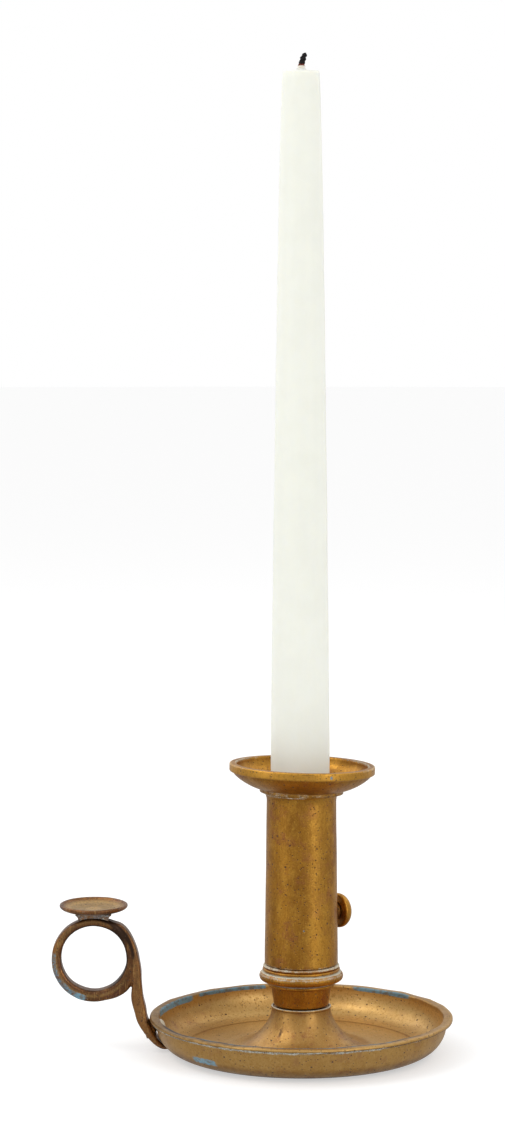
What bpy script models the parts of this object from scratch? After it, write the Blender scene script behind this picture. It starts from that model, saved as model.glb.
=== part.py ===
"""Brass chamberstick with a push-up candle ejector, a finger-ring handle and a tapered candle.

Run with: blender --background --python part.py
Sizes are in millimetres and are turned into metres where a mesh is made. +Z is up, the base
stands on Z = 0, and the origin is the middle of the object's footprint. The handle points along
-X, and the ejector's knob is on the stem's right, towards the back.
"""

import math

import bmesh
import bpy

MM = 0.001
GAP = 0.3  # air left between pieces that touch

# ---- Driving dimensions, in millimetres. Radii are measured from the stem's axis.
PAN_RADIUS = 57.0
PAN_WALL_RADIUS = 54.6
PAN_LINING_RADIUS = 53.2
FOOT_RADIUS = 41.7
RIM_TOP_Z = 13.65
RIM_THICKNESS = 1.8
RIM_ROUND = 0.6
FLOOR_Z = 1.9
WALL_FULLNESS = 2.27  # 2 would be an ellipse, more is boxier

CONE_TOP_RADIUS = 11.3
CONE_TOP_Z = 17.4
CONE_FOOT_RADIUS = 26.5
CONE_SHELL = 1.6
TENON_RADIUS = 4.0
TENON_FOOT_Z = 7.5

CUP_FOOT_RADIUS = 10.6
CUP_NECK_RADIUS = 11.4
CUP_KNOP_RADIUS = 15.75
CUP_KNOP_Z = 28.8
CUP_TOP_Z = 33.2

TUBE_BORE = 11.7
TUBE_SPIGOT_RADIUS = 12.7
TUBE_FOOT_RADIUS = 13.75
TUBE_NECK_RADIUS = 13.0
TUBE_FLARE_RADIUS = 14.3
TUBE_TOP_Z = 98.3
SPIGOT_LENGTH = 2.7

NOZZLE_RADIUS = 27.3
NOZZLE_FOOT_RADIUS = 15.8
NOZZLE_TOP_Z = 108.7
NOZZLE_BAND = 3.0
DISH_RADIUS = 24.9
DISH_FLOOR_Z = 101.4

EJECTOR_AZIMUTH = 35.0  # degrees from +X towards +Y
EJECTOR_Z = 51.5
EJECTOR_DOWN = 8.0
EJECTOR_UP = 38.0
PUSHER_RADIUS = 11.3
PUSHER_BORE = 10.4
PUSHER_TOP_Z = 59.9
PUSHER_FOOT_Z = 44.5
STUD_RADIUS = 1.5
KNOB_RADIUS = 6.55
KNOB_SEAT = 16.25  # the knob's underside, from the stem's axis
KNOB_DOME = 5.0
SPRING_RIVET_Z = 53.0
SPRING_RIVET_RADIUS = 0.9

RING_DISTANCE = 77.8  # the finger ring's centre, from the stem's axis
RING_Z = 35.5
RING_BORE = 12.25
RING_RADIUS = 15.8
RING_DROP = 0.6  # the ring is this much thinner at its top, and thicker at its bottom
RING_WIDTH = 6.8
HANDLE_SHANK_RADIUS = 1.2
HANDLE_RIVET_Z = 8.9
HANDLE_RIVET_TILT = 15.0  # degrees, head up

THUMB_RADIUS = 12.75
THUMB_STRETCH = 1.1  # the rest is wider across the handle than along it
THUMB_RIM_Z = 56.0
SADDLE_LENGTH = 13.5
SADDLE_WIDTH = 8.4

CANDLE_RADIUS = 11.0
CANDLE_TIP_RADIUS = 6.65
CANDLE_LENGTH = 305.0
CANDLE_TAPER = 252.0  # the length over which it narrows
CANDLE_TAPER_POWER = 0.65
WICK_RADIUS = 1.2
WICK_LENGTH = 7.2

# ---- Worked out from the driving dimensions
AXIS_X = (RING_DISTANCE + RING_RADIUS - PAN_RADIUS) / 2
CANDLE_FOOT_Z = PUSHER_TOP_Z + GAP
CANDLE_TOP_Z = CANDLE_FOOT_Z + CANDLE_LENGTH
RIM_Z = RIM_TOP_Z - RIM_THICKNESS

# ---- How finely round pieces are cut
PAN_SIDES = 40
STEM_SIDES = 32
CANDLE_SIDES = 24
SMALL_SIDES = 16
BAR_SIDES = 10
RING_SIDES = 32

BRASS = (0.33, 0.20, 0.065)
DARK_BRASS = (0.22, 0.13, 0.045)
WAX = (0.83, 0.84, 0.76)
CHAR = (0.05, 0.045, 0.04)


# ---- Shape helpers


def curve(centre, reach, start, end, steps, fullness=2.0):
    """Points along an ellipse or a boxier curve. 0 degrees points outwards and 90 points up."""
    points = []
    for step in range(steps + 1):
        angle = math.radians(start + (end - start) * step / steps)
        side = math.copysign(abs(math.cos(angle)) ** (2 / fullness), math.cos(angle))
        rise = math.copysign(abs(math.sin(angle)) ** (2 / fullness), math.sin(angle))
        points.append((centre[0] + reach[0] * side, centre[1] + reach[1] * rise))
    return points


def rounded(centre_r, centre_z, radius, start, end, steps):
    """Points along a circle."""
    return curve((centre_r, centre_z), (radius, radius), start, end, steps)


def smooth_route(stations, steps):
    """A Catmull-Rom curve through rows of numbers, with a few steps between each two."""
    padded = [stations[0]] + stations + [stations[-1]]
    route = []
    for before, first, last, after in zip(padded, padded[1:], padded[2:], padded[3:]):
        for step in range(steps):
            t = step / steps
            route.append(
                tuple(
                    0.5 * (2 * b + (c - a) * t + (2 * a - 5 * b + 4 * c - d) * t**2)
                    + 0.5 * (3 * b - a - 3 * c + d) * t**3
                    for a, b, c, d in zip(before, first, last, after)
                )
            )
    route.append(stations[-1])
    return route


def add_object(name, bm, material, parent=None, place=(0, 0, 0), turn=(0, 0, 0)):
    """Makes an object from a bmesh in millimetres, at a place in millimetres and a turn in degrees."""
    bmesh.ops.scale(bm, vec=(MM, MM, MM), verts=bm.verts)
    bmesh.ops.recalc_face_normals(bm, faces=bm.faces)
    mesh = bpy.data.meshes.new(name)
    bm.to_mesh(mesh)
    bm.free()
    mesh.shade_smooth()
    mesh.set_sharp_from_angle(angle=math.radians(35))
    if material:
        mesh.materials.append(material)
    piece = bpy.data.objects.new(name, mesh)
    piece.parent = parent
    piece.location = [value * MM for value in place]
    piece.rotation_euler = [math.radians(value) for value in turn]
    bpy.context.scene.collection.objects.link(piece)
    return piece


def turned(name, outline, sides, material, **placing):
    """A solid of revolution about Z. The outline of (r, z) is closed, or runs from axis to axis."""
    bm = bmesh.new()
    rings = []
    for r, z in outline:
        if r == 0:
            rings.append([bm.verts.new((0, 0, z))] * sides)
            continue
        angles = [2 * math.pi * side / sides for side in range(sides)]
        rings.append([bm.verts.new((r * math.cos(a), r * math.sin(a), z)) for a in angles])
    on_axis = outline[0][0] == 0
    for lower, upper in zip(rings, rings[1:] + ([] if on_axis else rings[:1])):
        for side in range(sides):
            after = (side + 1) % sides
            corners = [lower[side], lower[after], upper[after], upper[side]]
            bm.faces.new(list(dict.fromkeys(corners)))
    return add_object(name, bm, material, **placing)


def prism(name, outline, start, end, material, **placing):
    """An (x, y) outline extruded along Z from start to end."""
    bm = bmesh.new()
    floor = [bm.verts.new((x, y, start)) for x, y in outline]
    lid = [bm.verts.new((x, y, end)) for x, y in outline]
    bm.faces.new(floor)
    bm.faces.new(lid)
    for index in range(len(outline)):
        after = (index + 1) % len(outline)
        bm.faces.new([floor[index], floor[after], lid[after], lid[index]])
    return add_object(name, bm, material, **placing)


def bar(name, stations, material, loop=False, fullness=2.3, sides=BAR_SIDES, **placing):
    """A bar bent in the XZ plane. Each station is (x, z, thickness in the plane, width along Y)."""
    bm = bmesh.new()
    rings = []
    count = len(stations)
    for index, (x, z, thickness, width) in enumerate(stations):
        before = stations[index - 1] if loop or index > 0 else stations[0]
        after = stations[(index + 1) % count] if loop or index < count - 1 else stations[-1]
        run = math.hypot(after[0] - before[0], after[1] - before[1])
        across = ((before[1] - after[1]) / run, (after[0] - before[0]) / run)
        section = curve((0, 0), (thickness / 2, width / 2), 0, 360, sides, fullness)[:-1]
        ring = [bm.verts.new((x + across[0] * t, y, z + across[1] * t)) for t, y in section]
        rings.append(ring)
    for lower, upper in zip(rings, rings[1:] + (rings[:1] if loop else [])):
        for side in range(sides):
            after = (side + 1) % sides
            bm.faces.new([lower[side], lower[after], upper[after], upper[side]])
    if not loop:
        bm.faces.new(rings[0])
        bm.faces.new(rings[-1])
    return add_object(name, bm, material, **placing)


def combine(target, tool, operation):
    """Cuts a hidden tool from a piece (DIFFERENCE), or grows the piece by it (UNION)."""
    modifier = target.modifiers.new(operation.lower(), "BOOLEAN")
    modifier.operation = operation
    modifier.solver = "EXACT"
    modifier.object = tool
    tool.hide_render = True
    tool.display_type = "WIRE"


def finish(name, colour, roughness, metallic):
    """A plain Principled material."""
    material = bpy.data.materials.new(name)
    material.use_nodes = True
    shader = material.node_tree.nodes["Principled BSDF"]
    shader.inputs["Base Color"].default_value = (*colour, 1.0)
    shader.inputs["Roughness"].default_value = roughness
    shader.inputs["Metallic"].default_value = metallic
    return material


def carrier(name, parent=None):
    """An empty on the stem's axis, which carries the pieces that move along it."""
    empty = bpy.data.objects.new(name, None)
    empty.parent = parent
    empty.empty_display_size = 10 * MM
    bpy.context.scene.collection.objects.link(empty)
    return empty


def on_stem(**placing):
    """Places a piece that was modelled about the stem's axis."""
    return {"place": (AXIS_X, 0, 0), **placing}


def across_stem(azimuth, z, **placing):
    """Places a piece whose own Z points outwards from the stem, at an azimuth and a height."""
    return {"place": (AXIS_X, 0, z), "turn": (0, 90, azimuth), **placing}


def pin_hole(name, radius, start, end, **placing):
    """A round cutting tool along its own Z."""
    outline = [(0, start), (radius, start), (radius, end), (0, end)]
    return turned(name, outline, SMALL_SIDES, None, **placing)


# ---- The base: pan, cup and their fixing


def rivet_placing():
    """The handle rivet's axis crosses the pan's wall, tilted with it. Its own Z points outwards."""
    return {
        "place": (AXIS_X - PAN_LINING_RADIUS, 0, HANDLE_RIVET_Z),
        "turn": (0, 90 + HANDLE_RIVET_TILT, 180),
    }


def make_drip_pan(material):
    """Spun pan with a flat rim and a hollow raised cone, which the stem stands on."""
    wall_z = RIM_Z - 0.3
    wall = (PAN_WALL_RADIUS - FOOT_RADIUS, wall_z)
    lining = (PAN_LINING_RADIUS - FOOT_RADIUS, wall_z - FLOOR_Z)
    cone = (CONE_FOOT_RADIUS - CONE_TOP_RADIUS + 0.3, CONE_TOP_Z - 0.9 - FLOOR_Z)
    hollow_foot = CONE_FOOT_RADIUS + 1.5
    hollow = (hollow_foot - CONE_TOP_RADIUS + CONE_SHELL, CONE_TOP_Z - 0.6 - CONE_SHELL)
    outline = (
        [(TENON_RADIUS + GAP, CONE_TOP_Z - 0.6), (CONE_TOP_RADIUS - 1.0, CONE_TOP_Z - 0.6)]
        + rounded(CONE_TOP_RADIUS - 0.5, CONE_TOP_Z - 0.5, 0.5, 120, -30, 3)
        + curve((CONE_FOOT_RADIUS, CONE_TOP_Z - 0.9), cone, 180, 270, 7)
        + curve((FOOT_RADIUS, wall_z), lining, -90, 0, 6, WALL_FULLNESS)
        + rounded(PAN_LINING_RADIUS + RIM_ROUND, RIM_TOP_Z - RIM_ROUND, RIM_ROUND, 180, 90, 2)
        + rounded(PAN_RADIUS - RIM_ROUND, RIM_TOP_Z - RIM_ROUND, RIM_ROUND, 90, 0, 2)
        + rounded(PAN_RADIUS - RIM_ROUND, RIM_Z + RIM_ROUND, RIM_ROUND, 0, -90, 2)
        + [(PAN_WALL_RADIUS + 0.2, RIM_Z)]
        + curve((FOOT_RADIUS, wall_z), wall, 0, -90, 6, WALL_FULLNESS)
        + curve((hollow_foot, hollow[1]), hollow, 270, 180, 6)
        + [(TENON_RADIUS + GAP, hollow[1])]
    )
    pan = turned("drip_pan", outline, PAN_SIDES, material, **on_stem())
    hole = pin_hole("handle_rivet_hole", HANDLE_SHANK_RADIUS + GAP, -4, 5, **rivet_placing())
    combine(pan, hole, "DIFFERENCE")


def make_stem_cup(material):
    """Turned foot of the stem: a plain cup, a knop and two rings, with a threaded tenon below."""
    foot_z = CONE_TOP_Z + GAP
    socket_z = CUP_TOP_Z + GAP - SPIGOT_LENGTH - 1.8
    socket_radius = TUBE_SPIGOT_RADIUS + GAP
    outline = (
        [(0, TENON_FOOT_Z), (TENON_RADIUS - 0.6, TENON_FOOT_Z), (TENON_RADIUS, TENON_FOOT_Z + 0.6)]
        + [(TENON_RADIUS, foot_z), (CUP_FOOT_RADIUS - 0.3, foot_z)]
        + [(CUP_FOOT_RADIUS, foot_z + 0.4), (CUP_NECK_RADIUS - 0.1, CUP_KNOP_Z - 3.9)]
        + rounded(CUP_NECK_RADIUS, CUP_KNOP_Z - 3.1, 0.6, -80, 80, 3)
        + rounded(CUP_KNOP_RADIUS - 1.9, CUP_KNOP_Z, 1.9, -100, 70, 7)
        + rounded(CUP_KNOP_RADIUS - 1.8, CUP_KNOP_Z + 2.3, 0.6, -60, 80, 3)
        + rounded(CUP_KNOP_RADIUS - 2.2, CUP_TOP_Z - 0.6, 0.5, -70, 90, 3)
        + [(socket_radius, CUP_TOP_Z), (socket_radius, socket_z), (0, socket_z)]
    )
    turned("stem_cup", outline, STEM_SIDES, material, **on_stem())


def make_stem_fixing(material):
    """Washer and nut that draw the cup's tenon down on to the cone's underside."""
    top_z = CONE_TOP_Z - 0.6 - CONE_SHELL - GAP
    bore = TENON_RADIUS + GAP
    washer = [(bore, top_z), (8.2, top_z), (8.2, top_z - 1.2), (bore, top_z - 1.2)]
    turned("stem_washer", washer, SMALL_SIDES, material, **on_stem())
    nut_top = top_z - 1.2 - GAP
    hexagon = rounded(0, 0, 6.6, 0, 360, 6)[:-1]
    nut = prism("stem_nut", hexagon, nut_top - 4.2, nut_top, material, **on_stem())
    combine(nut, pin_hole("stem_nut_bore", bore, 5, 15, **on_stem()), "DIFFERENCE")


# ---- The stem


def make_stem_tube(material):
    """Slightly tapered tube with a flared top, spigots at both ends and the ejector's slot."""
    foot_z = CUP_TOP_Z + GAP
    flare = (TUBE_FLARE_RADIUS - TUBE_NECK_RADIUS, 3.7)
    outline = (
        [(TUBE_BORE, foot_z - SPIGOT_LENGTH - 1.5), (TUBE_SPIGOT_RADIUS, foot_z - SPIGOT_LENGTH - 1.5)]
        + [(TUBE_SPIGOT_RADIUS, foot_z), (TUBE_FOOT_RADIUS, foot_z)]
        + curve((TUBE_FLARE_RADIUS, TUBE_TOP_Z - 4.2), flare, 180, 90, 5)
        + [(TUBE_FLARE_RADIUS, TUBE_TOP_Z), (TUBE_SPIGOT_RADIUS, TUBE_TOP_Z)]
        + [(TUBE_SPIGOT_RADIUS, TUBE_TOP_Z + SPIGOT_LENGTH), (TUBE_BORE, TUBE_TOP_Z + SPIGOT_LENGTH)]
    )
    tube = turned("stem_tube", outline, STEM_SIDES, material, **on_stem())
    half_width = STUD_RADIUS + GAP
    slot = rounded(EJECTOR_DOWN + 1.4, 0, half_width, -90, 90, 8)
    slot += rounded(-EJECTOR_UP - 1.0, 0, half_width, 90, 270, 8)
    tool = prism("ejector_slot", slot, 8, 18, None, **across_stem(EJECTOR_AZIMUTH, EJECTOR_Z))
    combine(tube, tool, "DIFFERENCE")


def make_nozzle(material):
    """Flared drip cup round the candle, with a plain band and a dished inside."""
    foot_z = TUBE_TOP_Z + GAP
    band_z = NOZZLE_TOP_Z - NOZZLE_BAND
    bore = TUBE_SPIGOT_RADIUS + GAP
    dish = (DISH_RADIUS - bore - 0.3, NOZZLE_TOP_Z - 0.3 - DISH_FLOOR_Z)
    under = [(NOZZLE_FOOT_RADIUS, foot_z + 0.8), (20.4, foot_z + 3.2), (NOZZLE_RADIUS - 1.3, band_z)]
    outline = (
        [(bore, foot_z), (NOZZLE_FOOT_RADIUS, foot_z)]
        + smooth_route(under, 3)
        + rounded(NOZZLE_RADIUS - 0.4, band_z + 0.4, 0.4, -90, 0, 2)
        + rounded(NOZZLE_RADIUS - 0.5, NOZZLE_TOP_Z - 0.5, 0.5, 0, 90, 2)
        + [(DISH_RADIUS + 0.3, NOZZLE_TOP_Z)]
        + curve((bore + 0.3, NOZZLE_TOP_Z - 0.3), dish, 0, -90, 7)
        + [(bore, DISH_FLOOR_Z - 0.3)]
    )
    turned("nozzle", outline, STEM_SIDES, material, **on_stem())


# ---- The ejector


def make_pusher(material, parent):
    """Inverted cup that slides in the stem and lifts the candle."""
    outline = [
        (0, PUSHER_TOP_Z),
        (PUSHER_RADIUS - 0.4, PUSHER_TOP_Z),
        (PUSHER_RADIUS, PUSHER_TOP_Z - 0.4),
        (PUSHER_RADIUS, PUSHER_FOOT_Z),
        (PUSHER_BORE, PUSHER_FOOT_Z),
        (PUSHER_BORE, PUSHER_TOP_Z - 1.5),
        (0, PUSHER_TOP_Z - 1.5),
    ]
    pusher = turned("ejector_pusher", outline, STEM_SIDES, material, **on_stem(parent=parent))
    holes = (
        ("stud_hole", STUD_RADIUS, EJECTOR_AZIMUTH, EJECTOR_Z),
        ("spring_rivet_hole", SPRING_RIVET_RADIUS, EJECTOR_AZIMUTH + 180, SPRING_RIVET_Z),
    )
    for name, radius, azimuth, z in holes:
        tool = pin_hole(name, radius + GAP, 8, 13, **across_stem(azimuth, z, parent=parent))
        combine(pusher, tool, "DIFFERENCE")


def make_spring(material, parent):
    """Bowed leaf spring, riveted inside the pusher, which drags on the stem's bore."""
    inside = PUSHER_BORE - 1.5
    stations = [
        (inside, 57.0, 0.5, 6.0),
        (inside, 50.0, 0.5, 6.0),
        (inside, 45.0, 0.5, 6.0),
        (inside + 0.9, 42.0, 0.5, 5.6),
        (inside + 1.7, 39.8, 0.5, 5.2),
        (inside + 0.9, 37.8, 0.5, 4.6),
    ]
    placing = on_stem(parent=parent, turn=(0, 0, EJECTOR_AZIMUTH + 180))
    spring = bar("ejector_spring", smooth_route(stations, 3), material, fullness=6, sides=8, **placing)
    placing = across_stem(EJECTOR_AZIMUTH + 180, SPRING_RIVET_Z, parent=parent)
    combine(spring, pin_hole("spring_hole", SPRING_RIVET_RADIUS + GAP, 7, 11, **placing), "DIFFERENCE")
    rivet = (
        [(0, inside - 1.6)]
        + curve((0, inside - 0.55), (1.9, 1.05), -60, 0, 3)
        + [(SPRING_RIVET_RADIUS, inside - 0.55), (SPRING_RIVET_RADIUS, PUSHER_RADIUS - 0.2)]
        + [(0, PUSHER_RADIUS - 0.2)]
    )
    turned("spring_rivet", rivet, 16, material, **placing)


def make_push_knob(material, parent):
    """Headed stud through the slot, its collar, and the mushroom knob outside."""
    placing = across_stem(EJECTOR_AZIMUTH, EJECTOR_Z, parent=parent)
    stud = [
        (0, 8.5),
        (2.7, 8.5),
        (2.7, 9.6),
        (STUD_RADIUS, 9.6),
        (STUD_RADIUS, KNOB_SEAT + 2.6),
        (0, KNOB_SEAT + 2.6),
    ]
    turned("ejector_stud", stud, SMALL_SIDES, material, **placing)
    bore = STUD_RADIUS + GAP
    collar = [(bore, 13.95), (3.6, 13.95), (3.3, 14.5), (3.3, KNOB_SEAT - GAP), (bore, KNOB_SEAT - GAP)]
    turned("ejector_collar", collar, SMALL_SIDES, material, **placing)
    knob = (
        [(bore, KNOB_SEAT + 2.9), (bore, KNOB_SEAT), (KNOB_RADIUS - 0.5, KNOB_SEAT)]
        + rounded(KNOB_RADIUS - 0.6, KNOB_SEAT + 0.6, 0.6, -60, 0, 2)
        + curve((0, KNOB_SEAT + 0.9), (KNOB_RADIUS, KNOB_DOME - 0.9), 0, 90, 6)[:-1]
        + [(0, KNOB_SEAT + KNOB_DOME)]
    )
    knob = [(0, KNOB_SEAT + 2.9)] + knob
    turned("ejector_knob", knob, 20, material, **placing)


# ---- The handle


def make_handle(material):
    """Cast handle: a leaf-ended strip that rises past the rim and runs into a finger ring."""
    strip = [
        (49.8, 1.0, 0.8, 2.6),
        (52.0, 1.9, 1.6, 7.0),
        (54.7, 4.2, 2.4, 9.4),
        (57.4, 7.9, 3.2, 9.8),
        (59.4, 11.6, 3.8, 9.2),
        (60.7, 15.9, 4.8, 8.6),
        (61.9, 20.9, 5.2, 8.2),
        (62.7, 26.5, 5.2, 8.0),
        (63.1, 33.1, 4.8, 7.6),
        (64.6, 39.2, 3.8, 7.2),
        (67.4, 44.2, 2.6, 6.4),
        (70.8, 47.4, 1.8, 5.0),
    ]
    facing = on_stem(turn=(0, 0, 180))
    handle = bar("handle", smooth_route(strip, 3), material, **facing)
    stations = []
    for side in range(RING_SIDES):
        angle = 2 * math.pi * side / RING_SIDES
        outer = RING_RADIUS - RING_DROP * math.sin(angle)
        middle = (RING_BORE + outer) / 2
        x = RING_DISTANCE + middle * math.cos(angle)
        z = RING_Z + middle * math.sin(angle)
        stations.append((x, z, outer - RING_BORE, RING_WIDTH))
    ring = bar("finger_ring", stations, None, loop=True, **facing)
    combine(handle, ring, "UNION")
    boss = [(0, 2.2), (2.3, 2.2), (2.3, 5.5), (0, 5.5)]
    combine(handle, turned("rivet_boss", boss, SMALL_SIDES, None, **rivet_placing()), "UNION")
    socket = pin_hole("rivet_socket", HANDLE_SHANK_RADIUS + GAP, 0, 5.2, **rivet_placing())
    combine(handle, socket, "DIFFERENCE")


def make_handle_rivet(material):
    """Domed rivet that holds the handle's foot through the pan's wall."""
    head_seat = -0.75
    outline = (
        [(0, 4.9), (HANDLE_SHANK_RADIUS, 4.9), (HANDLE_SHANK_RADIUS, head_seat), (2.6, head_seat)]
        + curve((0, head_seat - 0.2), (2.9, 1.5), 0, -90, 5)[:-1]
        + [(0, head_seat - 1.7)]
    )
    turned("handle_rivet", outline, SMALL_SIDES, material, **rivet_placing())


def make_thumb_rest(material):
    """Oval dished thumb rest."""
    rim = 0.6
    under = (THUMB_RADIUS, 2.6)
    inside = (THUMB_RADIUS - 2 * rim, 1.5)
    outline = (
        [(0, THUMB_RIM_Z - 1.9)]
        + curve((0, THUMB_RIM_Z - 0.4), inside, -75, 0, 5)
        + rounded(THUMB_RADIUS - rim, THUMB_RIM_Z - rim, rim, 110, 0, 3)
        + curve((0, THUMB_RIM_Z - 0.8), under, 0, -65, 5)
        + [(0, THUMB_RIM_Z - 0.8 - under[1])]
    )
    placing = {"place": (AXIS_X - RING_DISTANCE, 0, 0)}
    rest = turned("thumb_rest", outline, STEM_SIDES, material, **placing)
    for vertex in rest.data.vertices:
        vertex.co.y *= THUMB_STRETCH


def make_thumb_saddle(material):
    """Block between the ring's top and the thumb rest, hollowed to sit on the ring."""
    seat = RING_RADIUS - RING_DROP + GAP
    swing = math.degrees(math.asin(SADDLE_LENGTH / 2 / seat))
    top_z = THUMB_RIM_Z - 0.8 - 2.6 - GAP
    half_length = SADDLE_LENGTH / 2
    outline = rounded(0, RING_Z, seat, 90 + swing, 90 - swing, 8)
    outline += [(half_length - 1.2, top_z), (-half_length + 1.2, top_z)]
    placing = {"place": (AXIS_X - RING_DISTANCE, 0, 0), "turn": (90, 0, 0)}
    half_width = SADDLE_WIDTH / 2
    prism("thumb_saddle", outline, -half_width, half_width, material, **placing)


# ---- The candle


def candle_radius(below_top):
    """The candle's radius at a distance below its top."""
    share = min(below_top / CANDLE_TAPER, 1.0)
    return CANDLE_TIP_RADIUS + (CANDLE_RADIUS - CANDLE_TIP_RADIUS) * share**CANDLE_TAPER_POWER


def make_candle(wax, char, parent):
    """Tapered dinner candle with a small cone of wax round its wick."""
    depths = [1.0] + [CANDLE_TAPER * (step / 11) ** 1.4 for step in range(1, 12)]
    side = [(candle_radius(depth), CANDLE_TOP_Z - depth) for depth in depths]
    socket = WICK_RADIUS + GAP
    outline = (
        [(0, CANDLE_TOP_Z - 5), (socket, CANDLE_TOP_Z - 5), (socket, CANDLE_TOP_Z + 0.9)]
        + [(socket + 0.25, CANDLE_TOP_Z + 0.9), (socket + 1.3, CANDLE_TOP_Z)]
        + [(CANDLE_TIP_RADIUS - 0.6, CANDLE_TOP_Z)]
        + side
        + [(CANDLE_RADIUS, CANDLE_FOOT_Z + 0.5), (CANDLE_RADIUS - 0.5, CANDLE_FOOT_Z)]
        + [(0, CANDLE_FOOT_Z)]
    )
    turned("candle_wax", outline, CANDLE_SIDES, wax, **on_stem(parent=parent))
    wick_top = CANDLE_TOP_Z + WICK_LENGTH
    outline = (
        [(0, CANDLE_TOP_Z - 4.7), (WICK_RADIUS, CANDLE_TOP_Z - 4.7), (WICK_RADIUS, wick_top - 1.6)]
        + curve((0, wick_top - 0.9), (1.0, 0.9), 0, 90, 3)[:-1]
        + [(0, wick_top)]
    )
    turned("candle_wick", outline, 12, char, **on_stem(parent=parent))


def main():
    """Builds every piece."""
    for old in list(bpy.data.objects):
        bpy.data.objects.remove(old)
    brass = finish("aged_brass", BRASS, 0.34, 1.0)
    dark_brass = finish("dark_brass", DARK_BRASS, 0.42, 1.0)
    wax = finish("candle_wax", WAX, 0.45, 0.0)
    char = finish("charred_wick", CHAR, 0.9, 0.0)
    make_drip_pan(brass)
    make_stem_cup(brass)
    make_stem_fixing(dark_brass)
    make_stem_tube(brass)
    make_nozzle(brass)
    make_handle(dark_brass)
    make_handle_rivet(brass)
    make_thumb_rest(dark_brass)
    make_thumb_saddle(dark_brass)
    ejector = carrier("ejector_slide")
    make_pusher(dark_brass, ejector)
    make_spring(dark_brass, ejector)
    make_push_knob(brass, ejector)
    make_candle(wax, char, carrier("candle_lift", ejector))


main()
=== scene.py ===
"""Looks of the brass chamberstick: fine meshes and aged-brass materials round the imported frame."""

import math

import bmesh
import bpy
from mathutils import Matrix, Vector, noise


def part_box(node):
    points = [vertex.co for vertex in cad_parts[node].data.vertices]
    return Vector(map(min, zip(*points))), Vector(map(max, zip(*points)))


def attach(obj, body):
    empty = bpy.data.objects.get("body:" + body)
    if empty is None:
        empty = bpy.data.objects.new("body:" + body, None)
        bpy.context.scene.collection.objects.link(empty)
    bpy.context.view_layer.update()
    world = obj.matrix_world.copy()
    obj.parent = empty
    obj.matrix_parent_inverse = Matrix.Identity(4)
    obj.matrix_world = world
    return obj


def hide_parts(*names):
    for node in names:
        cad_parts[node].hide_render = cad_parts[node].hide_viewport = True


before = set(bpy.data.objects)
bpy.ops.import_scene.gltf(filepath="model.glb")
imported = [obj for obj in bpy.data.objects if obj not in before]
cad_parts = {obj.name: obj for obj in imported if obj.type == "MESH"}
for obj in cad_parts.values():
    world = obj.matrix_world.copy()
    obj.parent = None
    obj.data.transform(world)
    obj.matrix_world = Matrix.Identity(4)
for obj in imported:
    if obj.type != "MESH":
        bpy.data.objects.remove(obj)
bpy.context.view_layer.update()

MM = 0.001
GAP = 0.3  # air between touching pieces, in millimetres, as in the CAD


class Node:
    """A CAD node's box in millimetres: its middle, its radius along X, its foot and its top."""

    def __init__(self, name):
        low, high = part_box(name)
        low, high = low / MM, high / MM
        self.middle = (low + high) / 2
        self.radius = (high.x - low.x) / 2
        self.foot = low.z
        self.top = high.z


PAN = Node("drip_pan")
CUP = Node("stem_cup")
TUBE = Node("stem_tube")
NOZZLE = Node("nozzle")
CANDLE = Node("candle_wax")
WICK = Node("candle_wick")
KNOB = Node("ejector_knob")
PUSHER = Node("ejector_pusher")
REST = Node("thumb_rest")
SADDLE = Node("thumb_saddle")
AXIS_X = CUP.middle.x

# ---- Sizes that the CAD has, in millimetres, measured from the stem's axis and from the table
RIM_TOP = 13.65
WALL_RADIUS = PAN.radius - 2.4
LINING_RADIUS = PAN.radius - 3.6
FOOT_RADIUS = 41.7
FLOOR = 1.9
WALL_FULLNESS = 2.27
CONE_RADIUS = 11.3
CONE_TOP = 17.4
CONE_FOOT = 26.5
KNOP_Z = 28.8
TENON_BORE = 4.3
BORE = 11.7
SPIGOT = 12.7
KNOB_AZIMUTH = 35.0
KNOB_Z = KNOB.middle.z
STUD_RADIUS = 1.5
SLIDE_DOWN = 8.0
SLIDE_UP = 38.0
RING_BORE = 12.25
RING_DEPTH = 3.56
RING_WIDTH = 6.7
RING_X = -77.8  # the finger ring's centre, from the stem's axis
RING_Z = 35.5
REST_OVAL = 1.1  # the thumb rest is this much wider from front to back
SPRING_RIVET_Z = 53.0
RIVET_HOLE = 1.5
SPRING_HOLE = 1.2
KNOB_SEAT = 16.25
KNOB_RADIUS = 6.55
CANDLE_RADIUS = 11.0
TIP_RADIUS = 6.65
TAPER_LENGTH = 252.0
WICK_BORE = 1.45
CANDLE_FLAT = 365.2  # the height of the candle's flat top

# ---- Where the looks differ from the CAD, whose pieces are upright and simpler
RIM_THICKNESS = 1.35
CONE_FULLNESS = 1.7  # 2 would be an ellipse, less is more hollow
NOZZLE_LEAN = 1.7  # degrees, lower on the right
NOZZLE_DIP = 1.2  # degrees, lower at the back
NOZZLE_DROP = 0.05  # lets it sit down on the tube as it leans
NOZZLE_SKIRT = 0.55  # how far the nozzle's foot hides the tube's flare

# Most pieces are modelled about the stem's axis.
STEM_PLACE = {"place": (AXIS_X, 0, 0)}

# The handle rivet crosses the pan's wall, tilted with it. Its own Z points outwards.
RIVET_PLACE = {"place": (AXIS_X - LINING_RADIUS, 0, 8.9), "turn": (0, 105, 180)}

# The handle's shoulder fills the space between the rivet and the rim.
SHOULDER_PLACE = {"place": (AXIS_X - LINING_RADIUS, 0, 10.3), "turn": (0, 90, 180)}

# The candle stands loosely in its socket, a little to the left.
CANDLE_PLACE = {"place": (AXIS_X - 0.5, 0, 0)}

# ---- How finely the meshes are cut
PAN_SIDES = 192
STEM_SIDES = 144
SMALL_SIDES = 64


# ---- Outlines, all in millimetres as (r, z)


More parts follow.
